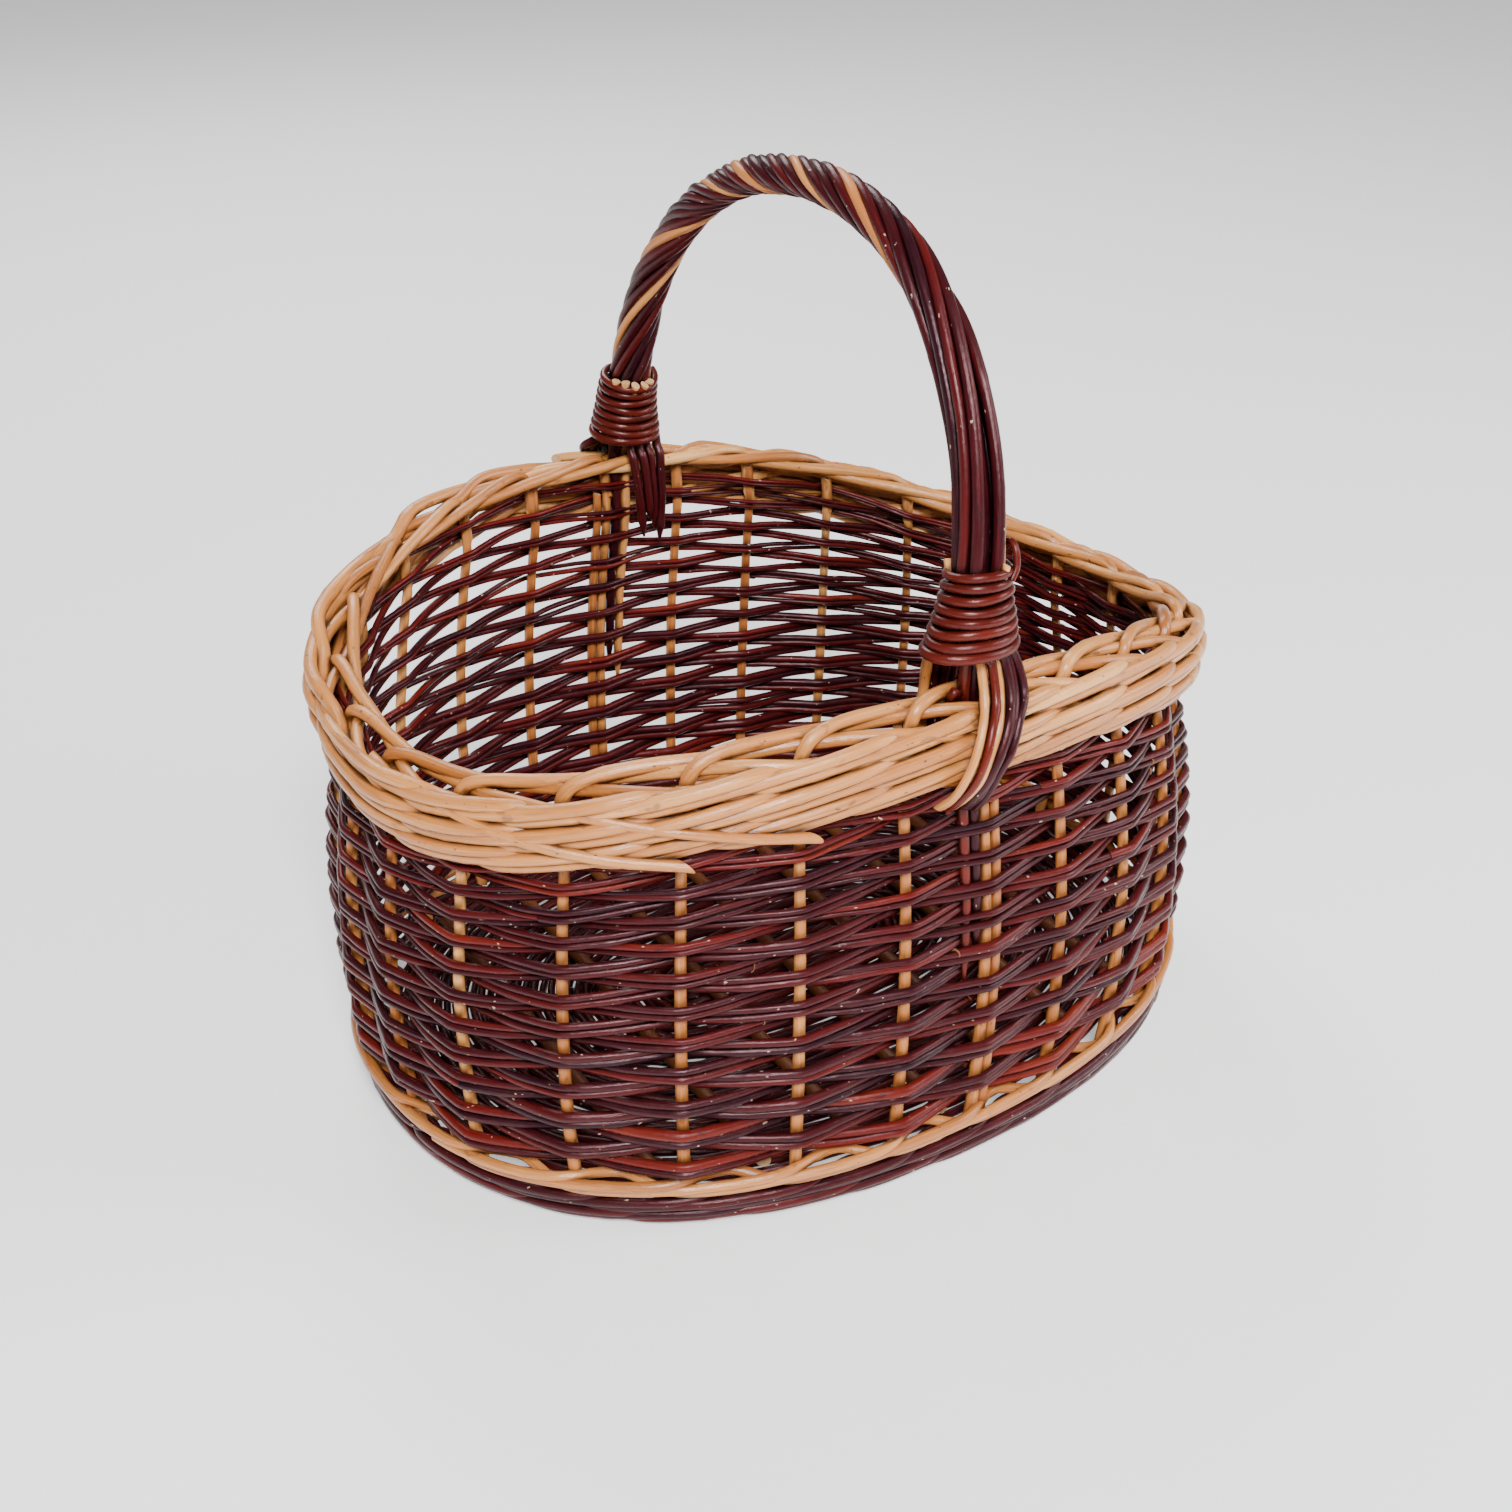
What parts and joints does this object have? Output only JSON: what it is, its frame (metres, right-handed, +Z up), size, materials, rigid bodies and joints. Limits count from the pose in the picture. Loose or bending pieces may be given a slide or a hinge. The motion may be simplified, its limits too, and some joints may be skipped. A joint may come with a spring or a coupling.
{
  "type": "woven market basket",
  "caption": "Oval hand-woven willow shopping basket with a thick plaited rim, a raised foot and one fixed twisted rope handle bound to both long sides.",
  "frame": {"origin": "middle of the oval foot on the floor plane", "axes": "+X along the basket's long axis, +Y across it towards the rear foot of the handle, +Z up"},
  "size_m": [0.436, 0.3364, 0.414],
  "materials": {
    "dark_willow": "satin steamed willow bark, dark red-brown",
    "light_willow": "satin stripped buff willow"
  },
  "bodies": {
    "root": {"base_cross_sticks": "light_willow", "base_long_sticks": "light_willow", "base_weave": "dark_willow", "border": "light_willow", "foot_wale": "dark_willow", "handle_binding_front": "dark_willow", "handle_binding_rear": "dark_willow", "handle_bow_ends": "dark_willow", "handle_core": "dark_willow", "handle_legs_front_inner": "dark_willow", "handle_legs_front_outer": "dark_willow", "handle_legs_rear_inner": "dark_willow", "handle_legs_rear_outer": "dark_willow", "handle_liners": "light_willow", "handle_rope": "dark_willow", "light_wale": "light_willow", "rim_round_1": "light_willow", "rim_round_2": "light_willow", "rim_round_3": "light_willow", "stakes_back": "light_willow", "stakes_front": "light_willow", "stakes_left_end": "light_willow", "stakes_right_end": "light_willow", "weave_course_01": "dark_willow", "weave_course_02": "dark_willow", "weave_course_03": "dark_willow", "weave_course_04": "dark_willow", "weave_course_05": "dark_willow", "weave_course_06": "dark_willow", "weave_course_07": "dark_willow", "weave_course_08": "dark_willow", "weave_course_09": "dark_willow", "weave_course_10": "dark_willow", "weave_course_11": "dark_willow", "weave_course_12": "dark_willow", "weave_course_13": "dark_willow"}
  },
  "joints": []
}
